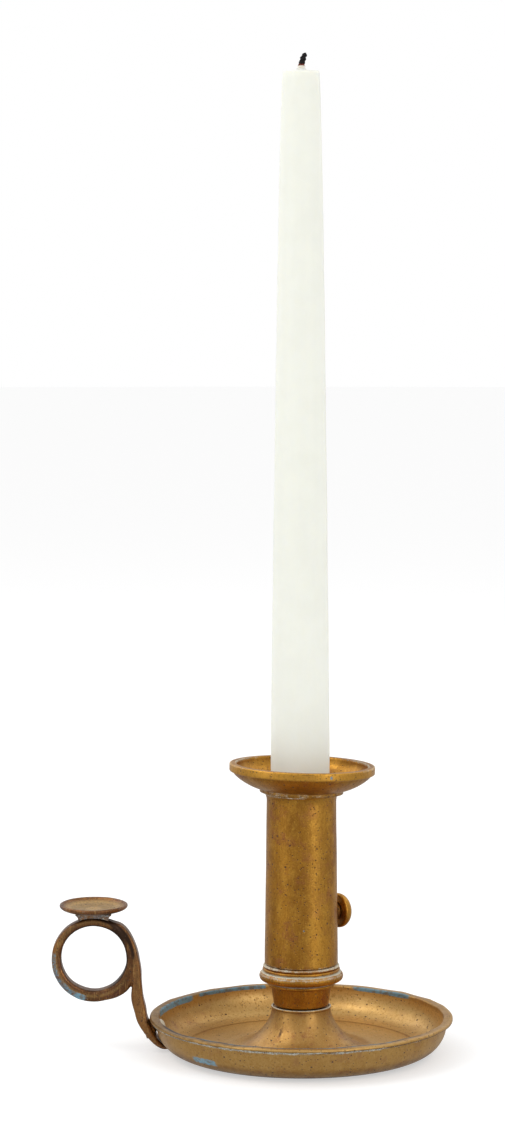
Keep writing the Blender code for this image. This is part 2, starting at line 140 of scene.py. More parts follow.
def curve(centre, reach, start, end, steps, fullness=2.0):
    """Points along an ellipse or a boxier curve. 0 degrees points outwards and 90 points up."""
    points = []
    for step in range(steps + 1):
        angle = math.radians(start + (end - start) * step / steps)
        side = math.copysign(abs(math.cos(angle)) ** (2 / fullness), math.cos(angle))
        rise = math.copysign(abs(math.sin(angle)) ** (2 / fullness), math.sin(angle))
        points.append((centre[0] + reach[0] * side, centre[1] + reach[1] * rise))
    return points


def rounded(r, z, radius, start, end, steps=6):
    """Points along a circle."""
    return curve((r, z), (radius, radius), start, end, steps)


def eased(outline, spacing):
    """Adds points to the long stretches of an outline, and drops points that fall together."""
    points = []
    for start, end in zip(outline, outline[1:] + outline[:1]):
        length = math.dist(start, end)
        if length < 0.02:
            continue
        steps = max(1, round(length / spacing))
        for step in range(steps):
            share = step / steps
            points.append(tuple(a + (b - a) * share for a, b in zip(start, end)))
    return points


def smooth_route(stations, steps):
    """A Catmull-Rom curve through rows of numbers."""
    padded = [stations[0]] + stations + [stations[-1]]
    route = []
    for before, first, last, after in zip(padded, padded[1:], padded[2:], padded[3:]):
        for step in range(steps):
            t = step / steps
            route.append(
                tuple(
                    0.5 * (2 * b + (c - a) * t + (2 * a - 5 * b + 4 * c - d) * t**2)
                    + 0.5 * (3 * b - a - 3 * c + d) * t**3
                    for a, b, c, d in zip(before, first, last, after)
                )
            )
    route.append(stations[-1])
    return route


# ---- Meshes


def wander(point, size, amount):
    """Slow unevenness of handwork: a smooth offset in millimetres that changes over about size."""
    return noise.noise(Vector(point) / size) * amount


def added(name, data, place=(0, 0, 0), turn=(0, 0, 0)):
    """A new object in the scene, turned by degrees about X, Y and Z."""
    made = bpy.data.objects.new(name, data)
    bpy.context.scene.collection.objects.link(made)
    made.location = place
    made.rotation_euler = [math.radians(value) for value in turn]
    return made


def new_piece(name, bm, material, place=(0, 0, 0), turn=(0, 0, 0), sharp=50):
    """A smooth-shaded object from a bmesh in millimetres, with its place in its mesh."""
    bmesh.ops.recalc_face_normals(bm, faces=bm.faces)
    mesh = bpy.data.meshes.new(name)
    bm.to_mesh(mesh)
    bm.free()
    piece = added(name, mesh, place, turn)
    bpy.context.view_layer.update()
    mesh.transform(piece.matrix_world)
    piece.matrix_world.identity()
    piece.location = (0, 0, 0)
    piece.rotation_euler = (0, 0, 0)
    for vertex in mesh.vertices:
        vertex.co *= MM
    mesh.shade_smooth()
    mesh.set_sharp_from_angle(angle=math.radians(sharp))
    if material:
        mesh.materials.append(material)
    return piece


def skin(bm, rings, closed=False):
    """Faces between rings of points, and from the last ring to the first one if closed."""
    for lower, upper in zip(rings, rings[1:] + (rings[:1] if closed else [])):
        for side in range(len(lower)):
            after = (side + 1) % len(lower)
            bm.faces.new([lower[side], lower[after], upper[after], upper[side]])


def turned(name, outline, sides, material, spacing=0.8, uneven=0.0, **placing):
    """A fine solid of revolution about Z. An outline that starts at r = 0 also ends there."""
    closed = outline[0][0] > 0
    points = eased(outline, spacing)
    if not closed:
        points = [point for point in points if point[0] > 0.01]
    bm = bmesh.new()
    rings = []
    for r, z in points:
        ring = []
        for side in range(sides):
            angle = 2 * math.pi * side / sides
            x, y = r * math.cos(angle), r * math.sin(angle)
            push = 1 + wander((x, y, z), 16, uneven) / max(r, 8)
            ring.append(bm.verts.new((x * push, y * push, z)))
        rings.append(ring)
    skin(bm, rings, closed)
    if not closed:
        for ring, (_, z) in ((rings[0], outline[0]), (rings[-1], outline[-1])):
            pole = bm.verts.new((0, 0, z))
            for side in range(sides):
                bm.faces.new([ring[side], ring[(side + 1) % sides], pole])
    return new_piece(name, bm, material, **placing)


def bevelled(thickness, width, bevel):
    """A bar's section: a rectangle whose corners are rounded off over a bevel."""
    points = []
    corners = ((1, 1, 0), (-1, 1, 90), (-1, -1, 180), (1, -1, 270))
    for side, rise, start in corners:
        centre = (side * (thickness / 2 - bevel), rise * (width / 2 - bevel))
        points += rounded(*centre, bevel, start, start + 90)
    return points


def swept(name, stations, bevel, material, loop=False, **placing):
    """A bar bent in the XZ plane. Each station is (x, z, thickness in the plane, width along Y)."""
    bm = bmesh.new()
    rings = []
    count = len(stations)
    for index, (x, z, thickness, width) in enumerate(stations):
        before = stations[index - 1] if loop or index > 0 else stations[0]
        after = stations[(index + 1) % count] if loop or index < count - 1 else stations[-1]
        run = math.hypot(after[0] - before[0], after[1] - before[1])
        across = ((before[1] - after[1]) / run, (after[0] - before[0]) / run)
        section = bevelled(thickness, width, min(bevel, thickness * 0.45))
        rings.append([bm.verts.new((x + across[0] * t, y, z + across[1] * t)) for t, y in section])
    skin(bm, rings, loop)
    if not loop:
        bm.faces.new(rings[0])
        bm.faces.new(rings[-1])
    return new_piece(name, bm, material, **placing)


def extruded(name, outline, start, end, material, **placing):
    """An (x, y) outline extruded along Z from start to end."""
    bm = bmesh.new()
    floor = [bm.verts.new((x, y, start)) for x, y in outline]
    lid = [bm.verts.new((x, y, end)) for x, y in outline]
    bm.faces.new(floor)
    bm.faces.new(lid)
    skin(bm, [floor, lid])
    return new_piece(name, bm, material, **placing)


def settle(piece, modifier_type, **settings):
    """Adds a modifier to a piece and makes its result the piece's own mesh."""
    modifier = piece.modifiers.new("step", modifier_type)
    for key, value in settings.items():
        setattr(modifier, key, value)
    depsgraph = bpy.context.evaluated_depsgraph_get()
    depsgraph.update()
    result = bpy.data.meshes.new_from_object(piece.evaluated_get(depsgraph))
    piece.modifiers.clear()
    old = piece.data
    piece.data = result
    bpy.data.meshes.remove(old)


def combine(piece, tool, operation="DIFFERENCE"):
    """Cuts a tool from a piece, or joins the two (UNION), or keeps what they share (INTERSECT)."""
    settle(piece, "BOOLEAN", operation=operation, solver="EXACT", object=tool)
    bpy.data.objects.remove(tool)


def melt_together(piece, grain, passes):
    """Makes one even skin of a piece, with faces of about a grain in millimetres, and softens it."""
    settle(piece, "REMESH", mode="VOXEL", voxel_size=grain * MM)
    settle(piece, "SMOOTH", factor=0.5, iterations=passes)


def ease_edges(piece, width, angle):
    """A small bevel along the edges that are sharper than an angle in degrees."""
    limit = math.radians(angle)
    settle(piece, "BEVEL", width=width * MM, segments=2, limit_method="ANGLE", angle_limit=limit)


def across_stem(azimuth, z):
    """Places a piece whose own Z points outwards from the stem's axis."""
    return {"place": (AXIS_X, 0, z), "turn": (0, 90, azimuth)}


def pin(name, radius, start, end, **placing):
    """A round tool along its own Z."""
    return turned(name, [(0, start), (radius, start), (radius, end), (0, end)], 48, None, **placing)


# ---- Marks: what has settled on each piece, and where light and shade are painted, held on its vertices as
# (pale polish residue, green tarnish, brown tarnish and painted shade, worn edge and painted highlights)


def near(value, centre, width):
    """1 at the centre, falling smoothly to 0 at width from it."""
    share = min(abs(value - centre) / width, 1.0)
    return 1 - share * share * (3 - 2 * share)


def between(value, low, high, edge):
    """1 from low to high, falling smoothly to 0 at edge outside them."""
    share = min(max(low - value, value - high, 0.0) / edge, 1.0)
    return 1 - share * share * (3 - 2 * share)


def about_stem(vertex):
    """A vertex's x, y, z, distance and azimuth from the stem's axis."""
    x, y, z = vertex.co.x / MM - AXIS_X, vertex.co.y / MM, vertex.co.z / MM
    return x, y, z, math.hypot(x, y), math.degrees(math.atan2(y, x))


def mark(piece, rule):
    """Stores rule(x, y, z, r, azimuth) on a piece's vertices."""
    marks = []
    wear_and_sheen = []
    for vertex in piece.data.vertices:
        values = rule(*about_stem(vertex))
        marks.extend(values[:3])
        wear_and_sheen.append(values[3])
    piece.data.attributes.new("marks", "FLOAT_VECTOR", "POINT").data.foreach_set("vector", marks)
    piece.data.attributes.new("wear_and_sheen", "FLOAT", "POINT").data.foreach_set("value", wear_and_sheen)


def evenly(*values):
    """A rule that gives a piece the same marks all over."""
    return lambda x, y, z, r, azimuth: values


# ---- Materials


def plug(tree, node, sockets):
    """Sets a node's sockets, each to a number, a colour or another node's output."""
    for key, value in sockets.items():
        if isinstance(value, bpy.types.NodeSocket):
            tree.links.new(value, node.inputs[key])
        else:
            node.inputs[key].default_value = value


def add_node(tree, kind, sockets=None, **settings):
    """Adds a node with its sockets and settings."""
    made = tree.nodes.new(kind)
    for key, value in settings.items():
        setattr(made, key, value)
    plug(tree, made, sockets or {})
    return made


class Painter:
    """Short calls that build one material's nodes."""

    def __init__(self, name):
        self.material = bpy.data.materials.new(name)
        self.material.use_nodes = True
        self.tree = self.material.node_tree
        self.shader = self.tree.nodes["Principled BSDF"]
        place = self.node("ShaderNodeTexCoord").outputs["Object"]
        self.place = self.node("ShaderNodeVectorMath", {0: place, 3: 1 / MM}, operation="SCALE").outputs[0]

    def node(self, kind, sockets=None, **settings):
        """Adds a node to the material."""
        return add_node(self.tree, kind, sockets, **settings)

    def stretched(self, x, y, z):
        """The place, scaled along each axis."""
        return self.node("ShaderNodeMapping", {"Vector": self.place, "Scale": (x, y, z)}).outputs[0]

    def noise(self, size, detail=4.0, rough=0.55, place=None, shift=0.0):
        """Noise from 0 to 1 whose patches are about size millimetres across."""
        where = place or self.place
        if shift:
            where = self.node("ShaderNodeVectorMath", {0: where, 1: (shift, shift, shift)}).outputs[0]
        sockets = {"Vector": where, "Scale": 1 / size, "Detail": detail, "Roughness": rough}
        return self.node("ShaderNodeTexNoise", sockets).outputs["Fac"]

    def span(self, value, low, high, to_low=0.0, to_high=1.0):
        """Maps low..high smoothly to another span, and holds it outside."""
        sockets = {"Value": value, 1: low, 2: high, 3: to_low, 4: to_high}
        return self.node("ShaderNodeMapRange", sockets, interpolation_type="SMOOTHSTEP").outputs[0]

    def sum(self, *values):
        """Adds values."""
        total = values[0]
        for value in values[1:]:
            total = self.node("ShaderNodeMath", {0: total, 1: value}, operation="ADD").outputs[0]
        return total

    def times(self, first, second):
        """Multiplies two values."""
        return self.node("ShaderNodeMath", {0: first, 1: second}, operation="MULTIPLY").outputs[0]

    def minus(self, first, second):
        """Subtracts, and stays between 0 and 1."""
        sockets = {0: first, 1: second}
        return self.node("ShaderNodeMath", sockets, operation="SUBTRACT", use_clamp=True).outputs[0]

    def mix(self, share, under, over):
        """A colour mixed from under to over."""
        sockets = {0: share, 6: under, 7: over}
        return self.node("ShaderNodeMix", sockets, data_type="RGBA").outputs[2]

    def marks(self):
        """The four marks on the vertices: residue, green, brown with painted shade, and wear with painted
        highlights.
        """
        marks = self.node("ShaderNodeAttribute", attribute_name="marks").outputs["Vector"]
        wear_and_sheen = self.node("ShaderNodeAttribute", attribute_name="wear_and_sheen").outputs["Fac"]
        return [*self.node("ShaderNodeSeparateXYZ", {0: marks}).outputs, wear_and_sheen]

    def pits(self, spacing, radius, share):
        """Scattered round pits: 1 in a pit's middle, 0 outside. Share is how many places have one."""
        where = self.place
        cells = self.node("ShaderNodeTexVoronoi", {"Vector": where, "Scale": 1 / spacing})
        chance = self.node("ShaderNodeSeparateColor", {0: cells.outputs["Color"]}).outputs
        size = self.span(chance[1], 0, 1, radius * 0.35 / spacing, radius / spacing)
        depth = self.node("ShaderNodeMath", {0: cells.outputs["Distance"], 1: size}, operation="DIVIDE")
        inside = self.span(depth.outputs[0], 1.0, 0.45)
        return self.times(inside, self.span(chance[0], share + 0.01, share))

    def bump(self, height, depth, under=None):
        """A bump of a height from 0 to 1, whose full step is depth millimetres."""
        sockets = {"Height": height, "Distance": depth * MM, "Strength": 1.0}
        if under:
            sockets["Normal"] = under
        return self.node("ShaderNodeBump", sockets).outputs[0]

    def finish(self, **sockets):
        """Sets the shader's sockets, with _ for a space, and gives the material."""
        plug(self.tree, self.shader, {name.replace("_", " "): value for name, value in sockets.items()})
        return self.material


RESIDUE = (0.60, 0.57, 0.46, 1)
VERDIGRIS = (0.12, 0.27, 0.36, 1)
SLATE = (0.12, 0.125, 0.115, 1)
# Dark brown of grime, also used for painted shade.
GRIME_AND_SHADE = (0.045, 0.022, 0.012, 1)


def aged_brass(name, tones, gloss=0.30, film=0.1, pitting=0.5, scratched=0.25, casting=0.012, lathe=True):
    """Old worn brass: golden with browner and redder patches, pitted, with grime in its grooves, and with
    painted shade and painted highlights where its marks ask for them.

    Gloss is its roughness, film how dull it is, and casting its grain's depth in millimetres.
    Polish and green show where a mark plus the breakup passes about 1.15.
    """
    paint = Painter(name)
    polished, bright, middle, brown, red = tones
    residue, green, tarnish_and_shade, wear_and_sheen = paint.marks()
    streaks = paint.stretched(1.0, 1.0, 0.65)
    clouds = paint.noise(15, 5, 0.6, place=streaks)
    patches = paint.noise(3.2, 8, 0.74, place=streaks, shift=31)
    blush = paint.noise(6, 7, 0.72, shift=73)
    grain = paint.noise(0.5, 4, 0.75, shift=11)
    speckle = paint.noise(1.0, 5, 0.75, shift=57)
    colour = paint.mix(paint.span(clouds, 0.34, 0.64), brown, middle)
    colour = paint.mix(paint.span(patches, 0.44, 0.78, 0, 0.75), colour, bright)
    colour = paint.mix(paint.span(blush, 0.50, 0.66, 0, 0.85), colour, red)
    # Wear and painted highlights lighten the colour towards the polished tone.
    colour = paint.mix(paint.times(wear_and_sheen, 0.75), colour, polished)
    colour = paint.mix(paint.span(speckle, 0.50, 0.66, 0, 0.75), colour, brown)
    colour = paint.mix(paint.span(grain, 0.52, 0.70, 0, 0.6), colour, bright)
    colour = paint.mix(paint.span(grain, 0.46, 0.30, 0, 0.55), colour, brown)
    fibre = paint.noise(0.45, 3, 0.6, place=paint.stretched(1.0, 1.0, 0.10), shift=19)
    scratches = paint.span(fibre, 0.55, 0.66, 0, scratched)
    colour = paint.mix(scratches, colour, polished)
    dark_spots = paint.sum(paint.pits(2.3, 0.55, pitting), paint.pits(1.1, 0.34, pitting))
    # Tarnish and painted shade darken the colour towards grime.
    stain_and_shade = paint.span(paint.sum(tarnish_and_shade, paint.times(paint.noise(1.6, 6, 0.75), 0.6)), 0.42, 1.2)
    colour = paint.mix(stain_and_shade, colour, GRIME_AND_SHADE)
    colour = paint.mix(paint.minus(dark_spots, 0.1), colour, GRIME_AND_SHADE)
    fine = paint.times(paint.noise(0.55, 7, 0.8, shift=5), 1.1)
    broad = paint.times(paint.noise(2.8, 4, 0.6, shift=67), 0.5)
    breakup = paint.sum(fine, broad)
    chalk = paint.span(paint.sum(residue, breakup), 1.14, 1.46)
    patina = paint.span(paint.sum(green, breakup), 1.17, 1.42)
    patina_tone = paint.mix(paint.span(paint.noise(2.4, 5, 0.7, shift=90), 0.36, 0.56), SLATE, VERDIGRIS)
    colour = paint.mix(paint.times(patina, 0.92), colour, patina_tone)
    colour = paint.mix(paint.times(chalk, 0.92), colour, RESIDUE)
    covered = paint.sum(paint.times(chalk, 0.85), paint.times(patina, 0.8), paint.times(dark_spots, 0.5))
    roughness = paint.sum(
        paint.span(patches, 0.3, 0.7, gloss + 0.10, gloss - 0.04),
        paint.times(grain, 0.10),
        paint.times(covered, 0.35),
        paint.times(stain_and_shade, 0.10),
    )
    waves = paint.bump(paint.noise(7, 3, 0.5, shift=44), 0.05)
    if lathe:
        rings = paint.noise(1.0, 3, 0.65, place=paint.stretched(0.02, 0.02, 3.6))
        waves = paint.bump(rings, 0.008, waves)
    surface = paint.bump(grain, casting, waves)
    surface = paint.bump(paint.minus(1.0, dark_spots), 0.10, surface)
    surface = paint.bump(chalk, 0.06, surface)
    return paint.finish(
        Base_Color=colour,
        Metallic=paint.minus(1.0, paint.sum(covered, film)),
        Roughness=roughness,
        Normal=surface,
    )


def candle_wax():
    """Smooth ivory wax, faintly cloudy, with handling marks, and a faint painted glow that evens out its
    light and shade.
    """
    paint = Painter("ivory_wax")
    ivory, cream, speck = (0.645, 0.655, 0.595, 1), (0.665, 0.675, 0.615, 1), (0.72, 0.68, 0.55, 1)
    clouds = paint.noise(14, 4, 0.6)
    drag = paint.noise(1.0, 4, 0.6, place=paint.stretched(0.9, 0.9, 0.03))
    colour = paint.mix(paint.span(clouds, 0.35, 0.65), ivory, cream)
    colour = paint.mix(paint.pits(6, 0.3, 0.3), colour, speck)
    surface = paint.bump(drag, 0.012, paint.bump(clouds, 0.10))
    return paint.finish(
        Base_Color=colour,
        Roughness=paint.span(drag, 0.3, 0.7, 0.36, 0.50),
        Normal=surface,
        Subsurface_Weight=0.5,
        Subsurface_Radius=(1.0, 0.9, 0.65),
        Subsurface_Scale=0.006,
        IOR=1.44,
        Specular_IOR_Level=0.35,
        # Painted glow: the wax emits a little light so that it looks evenly lit.
        Emission_Color=(1.0, 1.0, 0.93, 1),
        Emission_Strength=0.15,
    )


def braided_wick(wax_line, char_line):
    """Cotton wick: waxed and pale below, red where it last glowed, charred black above."""
    paint = Painter("charred_wick")
    cotton, singed = (0.84, 0.80, 0.71, 1), (0.16, 0.035, 0.02, 1)
    char, ash = (0.012, 0.011, 0.011, 1), (0.10, 0.09, 0.08, 1)
    height = paint.node("ShaderNodeSeparateXYZ", {0: paint.place}).outputs[2]
    ragged = paint.sum(height, paint.times(paint.noise(0.6, 3, 0.6), 0.5))
    colour = paint.mix(paint.span(ragged, wax_line, wax_line + 0.35), cotton, singed)
    colour = paint.mix(paint.span(ragged, char_line, char_line + 0.3), colour, char)
    flakes = paint.span(paint.noise(0.5, 4, 0.7, shift=9), 0.62, 0.75, 0, 0.35)
    colour = paint.mix(flakes, colour, ash)
    return paint.finish(
        Base_Color=colour,
        Roughness=0.85,
        Specular_IOR_Level=0.2,
        Normal=paint.bump(paint.noise(0.25, 4, 0.7), 0.12),
    )


# Each brass has five tones: polished, bright, middle, brown and red.
HONEY = (0.345, 0.168, 0.030, 1)
UMBER = (0.215, 0.098, 0.020, 1)
RUSSET = (0.265, 0.105, 0.036, 1)
PALE_GOLD = (0.66, 0.42, 0.145, 1)
DUSTY_GOLD = (0.50, 0.29, 0.085, 1)
STRAW = (0.40, 0.215, 0.055, 1)
BARK = (0.115, 0.050, 0.020, 1)
PLUM = (0.125, 0.050, 0.034, 1)
CHESTNUT = (0.255, 0.106, 0.032, 1)
COPPER = (0.35, 0.142, 0.040, 1)
BUTTER = (0.72, 0.38, 0.062, 1)
AMBER = (0.48, 0.222, 0.028, 1)
CINNAMON = (0.30, 0.128, 0.018, 1)
ROSEWOOD = (0.33, 0.122, 0.042, 1)

tones = (PALE_GOLD, DUSTY_GOLD, STRAW, HONEY, RUSSET)
pan_brass = aged_brass("pan_brass", tones, film=0.32, pitting=0.6, lathe=False)
tones = (BUTTER, BUTTER, AMBER, CINNAMON, ROSEWOOD)
stem_brass = aged_brass("stem_brass", tones, film=0.08, pitting=0.7)
handle_brass = aged_brass(
    "handle_brass",
    (PALE_GOLD, COPPER, CHESTNUT, BARK, PLUM),
    gloss=0.25,
    film=0.2,
    pitting=0.95,
    scratched=0.35,
    casting=0.06,
    lathe=False,
)
fixing_brass = aged_brass("fixing_brass", (HONEY, HONEY, HONEY, UMBER, RUSSET), gloss=0.42)
wax = candle_wax()
wick_cotton = braided_wick(CANDLE_FLAT + 1.9, CANDLE_FLAT + 2.5)


# ---- Pieces

dull = evenly(0.0, 0.0, 0.15, 0.0)
grimy = evenly(0.36, 0.46, 0.30, 0.0)


def stands_for(piece, node, body, rule=None):
    """Marks a fine piece by a rule, and puts it in a CAD node's place."""
    if rule:
        mark(piece, rule)
    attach(piece, body)
    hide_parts(node)


def warp(piece, rule):
    """Moves vertices by rule(x, y, z, r, azimuth) millimetres."""
    for vertex in piece.data.vertices:
        vertex.co += Vector(rule(*about_stem(vertex))) * MM


def on_outer_wall(r, z):
    """1 on the pan's outer wall, 0 on its inner wall."""
    wall_z = RIM_TOP - RIM_THICKNESS - 0.3
    depth = min(max((wall_z - z) / (wall_z - FLOOR), 0.0), 1.0)
    share = (1 - depth**WALL_FULLNESS) ** (1 / WALL_FULLNESS)
    lining = FOOT_RADIUS + (LINING_RADIUS - FOOT_RADIUS) * share
    return 1.0 if r > lining + 0.6 or z < FLOOR - 0.6 else 0.0


def pan_marks(x, y, z, r, azimuth):
    """Polish under the rim and round the cone's lip, green under the rim, the inside worn and brightened
    as a painted sheen on its right and back, painted shadow under the rim and just below the cone's lip,
    and the outer wall with painted light high up and painted shade at its foot.
    """
    rim_z = RIM_TOP - RIM_THICKNESS
    outer = on_outer_wall(r, z)
    wall = between(r, 53.9, 55.2, 0.3)
    under_edge = between(r, 56, 57.5, 0.2) * near(z, rim_z, 0.6)
    under_rim = wall * between(z, rim_z - 1.0, rim_z, 0.3) + under_edge
    along = between(azimuth, -170, -62, 12) + 0.72 * between(azimuth, -50, -15, 12)
    lip = between(r, CONE_RADIUS - 1.2, CONE_RADIUS + 0.3, 0.2)
    lip *= between(z, CONE_TOP - 0.22, CONE_TOP, 0.12)
    # Painted shadow just below the cone's lip.
    below_lip_shadow = near(z, CONE_TOP - 0.7, 0.4) * between(r, CONE_RADIUS - 1, CONE_RADIUS + 1, 0.3)
    inner = between(r, LINING_RADIUS - 1.0, LINING_RADIUS + 0.5, 0.5)
    left = between(azimuth, 143, 173, 5) * between(z, 11.7, 13.1, 1.0)
    back = between(azimuth, 106, 135, 4) * between(z, 12.4, 13.3, 0.6)
    right = between(azimuth, 41, 64, 6) * between(z, 12.2, 13.3, 0.7)
    patch = between(azimuth, -138, -128, 3) * between(z, 4.2, 5.8, 1.2) * between(r, 50, 57, 1)
    front = between(azimuth, -150, -45, 15) * near(z, RIM_TOP - 0.2, 0.7) * between(r, 53.2, 54.4, 0.4)
    streak = near(azimuth, -124, 5) * near(r, 14.2, 2.6) * between(z, 8, 12, 2)
    under = between(z, -1, 1.2, 0.3) * between(r, 38, 50, 2)
    # Painted shadow under the rim's overhang: its underside and the wall just beneath it are darkened.
    rim_corner_shadow = 0.7 * between(r, 55.4, 57, 0.3) * near(z, rim_z, 0.6)
    rim_gap_shadow = 0.9 * wall * between(z, rim_z - 0.7, rim_z, 0.3) + rim_corner_shadow
    # Painted shade: the outer wall is darkened towards its foot.
    low_wall_shade = outer * between(z, 0, 3.0, 4) * between(r, 44, 54.5, 2)
    rim_edge = between(r, PAN.radius - 1.0, PAN.radius, 0.7) * between(z, RIM_TOP - 0.7, RIM_TOP, 0.4)
    # The inside is worn, and brightened on its right and back as a painted sheen.
    bowl_wear_and_sheen = between(z, 1.5, 11, 1.5) * between(r, 28, 53, 3) * between(azimuth, -80, 110, 35)
    left_floor = between(z, 1, 3.5, 1.5) * between(r, 24, 48, 4) * between(abs(azimuth), 110, 180, 20)
    # Painted light: the outer wall is brightened high up.
    high_wall_light = between(z, 5, 12, 4) * between(r, 53.2, 56, 1)
    left_rim = between(abs(azimuth), 120, 180, 20)
    left_rim *= near(z, RIM_TOP - 0.3, 1.2) * between(r, 53, 57, 0.5)
    return (
        0.50 * under_rim * along + 0.62 * lip + 0.25 * left_rim,
        0.85 * inner * (left + back + right) + 0.7 * patch + 0.50 * under_rim * along + 0.60 * front,
        # Brown: a streak, grime underneath, painted shadow under the rim and below the cone's lip, the
        # rim's front line, the left rim, and painted shade low on the outer wall.
        0.7 * streak + 0.35 * under + rim_gap_shadow + front + 0.35 * below_lip_shadow + 0.5 * left_rim + 0.4 * low_wall_shade,
        # Worn: the rim's edge, the inside worn and painted brighter, the left floor, and painted light
        # high on the outer wall.
        0.5 * rim_edge + (1 - outer) * (0.85 * bowl_wear_and_sheen + 0.5 * left_floor) + 0.35 * high_wall_light,
    )


def drip_pan():
    """Spun pan with a flat rim and a hollow raised cone."""
    rim_z = RIM_TOP - RIM_THICKNESS
    wall_z = rim_z - 0.3
    wall = (WALL_RADIUS - FOOT_RADIUS, wall_z)
    lining = (LINING_RADIUS - FOOT_RADIUS, wall_z - FLOOR)
    cone = (CONE_FOOT - CONE_RADIUS + 0.3, CONE_TOP - 0.9 - FLOOR)
    hollow = (CONE_FOOT - CONE_RADIUS + 3.1, CONE_TOP - 2.2)
    outer = PAN.radius - 0.1
    outline = (
        [(TENON_BORE, CONE_TOP - 0.6), (CONE_RADIUS - 1.0, CONE_TOP - 0.6)]
        + rounded(CONE_RADIUS - 0.5, CONE_TOP - 0.5, 0.5, 120, -30)
        + curve((CONE_FOOT, CONE_TOP - 0.9), cone, 180, 270, 28, CONE_FULLNESS)
        + curve((FOOT_RADIUS, wall_z), lining, -90, 0, 24, WALL_FULLNESS)
        + rounded(LINING_RADIUS + 0.6, RIM_TOP - 0.6, 0.6, 180, 90)
        + rounded(outer - 0.7, RIM_TOP - 0.7, 0.7, 90, 0)
        + rounded(outer - 0.6, rim_z + 0.6, 0.6, 0, -90)
        + rounded(WALL_RADIUS + 0.3, rim_z - 0.3, 0.3, 90, 180, 3)
        + curve((FOOT_RADIUS, wall_z), wall, 0, -90, 24, WALL_FULLNESS)
        + curve((CONE_FOOT + 1.5, CONE_TOP - 2.2), hollow, 270, 180, 24, CONE_FULLNESS)
        + [(TENON_BORE, CONE_TOP - 2.2)]
    )
    piece = turned("spun_pan", outline, PAN_SIDES, pan_brass, spacing=0.5, **STEM_PLACE)
    combine(piece, pin("rivet_hole", RIVET_HOLE, -4, 5, **RIVET_PLACE))

    def handwork(x, y, z, r, azimuth):
        """A rim that isn't quite flat, and a floor with faint spinning waves."""
        at_rim = between(r, 53.4, 57, 4) * between(z, 9, 14, 3)
        sink = -abs(wander((x, y, 3), 19, 0.75)) * at_rim
        floor = wander((r * 0.9, 0, 7), 3, 0.12) * between(r, 28, 44, 4) * between(z, 1.6, 3, 0.3)
        return (0, 0, sink + floor)

    warp(piece, handwork)
    stands_for(piece, "drip_pan", "holder", pan_marks)


def cup_marks(x, y, z, r, azimuth):
    """Old polish in the groove and on the top, and a thin line of it at the foot. The top's pale mark is
    stronger at the left and right, partly a painted grazing sheen.
    """
    # Pale marks stronger at the left and right as seen from the front: partly residue, partly a painted
    # grazing sheen.
    sides = 0.7 + 0.3 * abs(x) / max(r, 1)
    groove = near(z, KNOP_Z + 1.85, 0.75) * between(r, 10, 14.9, 0.3)
    top = between(z, CUP.top - 0.6, CUP.top + 1, 0.4) * between(r, 13.1, 15, 0.2)
    bead = near(z, KNOP_Z - 2.45, 0.4) * between(r, 11.6, 13, 0.3)
    cove = near(z, KNOP_Z - 2.0, 0.8) * between(r, 9, 13.6, 0.4)
    return (
        0.66 * groove + 0.62 * top * sides + 0.75 * bead + 0.50 * near(z, KNOP_Z + 0.9, 1.3),
        0.30 * top,
        0.45 * cove + 0.10 * near(z, KNOP_Z + 2.6, 0.9) + 0.2 * groove,
        0.35 * near(z, KNOP_Z - 0.6, 1.3) * between(r, 15.0, 17, 0.3),
    )


def stem_cup():
    """Turned foot of the stem: plain cup, knop and two rings, on a threaded tenon."""
    foot_z = CONE_TOP + GAP
    socket_z = CUP.top + GAP - 4.5
    tenon = CUP.foot
    thread = [(4.0 - 0.28 * (step % 2), tenon + 0.6 + step * 0.45) for step in range(16)]
    outline = (
        [(0, tenon), (3.4, tenon)]
        + thread
        + [(4.0, foot_z), (9.9, foot_z)]
        + rounded(9.9, foot_z + 0.4, 0.4, -90, -10, 3)
        + [(11.3, KNOP_Z - 3.9)]
        + rounded(12.0, KNOP_Z - 3.1, 0.72, -88, 88)
        + curve((13.4, KNOP_Z - 1.9), (1.4, 0.7), 170, 110, 5)
        + rounded(CUP.radius - 1.9, KNOP_Z, 1.9, -80, 62, 16)
        + [(13.9, KNOP_Z + 1.8)]
        + rounded(13.9, KNOP_Z + 2.5, 0.65, -60, 75)
        + [(13.85, KNOP_Z + 3.2)]
        + rounded(13.7, CUP.top - 0.65, 0.6, -50, 90)
        + [(13.0, CUP.top), (13.0, socket_z), (0, socket_z)]
    )
    piece = turned("turned_cup", outline, STEM_SIDES, stem_brass, spacing=0.45, **STEM_PLACE)
    stands_for(piece, "stem_cup", "holder", cup_marks)


def stem_fixing():
    """Washer and chamfered hexagon nut under the cone."""
    top = Node("stem_washer").top
    washer = [(TENON_BORE, top), (7.9, top), (8.2, top - 0.3)]
    washer += [(8.2, top - 0.9), (7.9, top - 1.2), (TENON_BORE, top - 1.2)]
    piece = turned("plate_washer", washer, SMALL_SIDES, fixing_brass, spacing=0.4, **STEM_PLACE)
    stands_for(piece, "stem_washer", "holder", dull)
    box = Node("stem_nut")
    hexagon = rounded(0, 0, 6.6, 0, 360)[:-1]
    nut = extruded("hexagon_nut", hexagon, box.foot, box.top, fixing_brass, **STEM_PLACE)
    shape = [(0, box.foot), (5.7, box.foot), (6.7, box.foot + 0.6), (6.7, box.top), (0, box.top)]
    combine(nut, turned("nut_chamfer", shape, SMALL_SIDES, None, **STEM_PLACE), "INTERSECT")
    combine(nut, pin("nut_bore", TENON_BORE, 5, 16, **STEM_PLACE))
    ease_edges(nut, 0.15, 35)
    stands_for(nut, "stem_nut", "holder", dull)


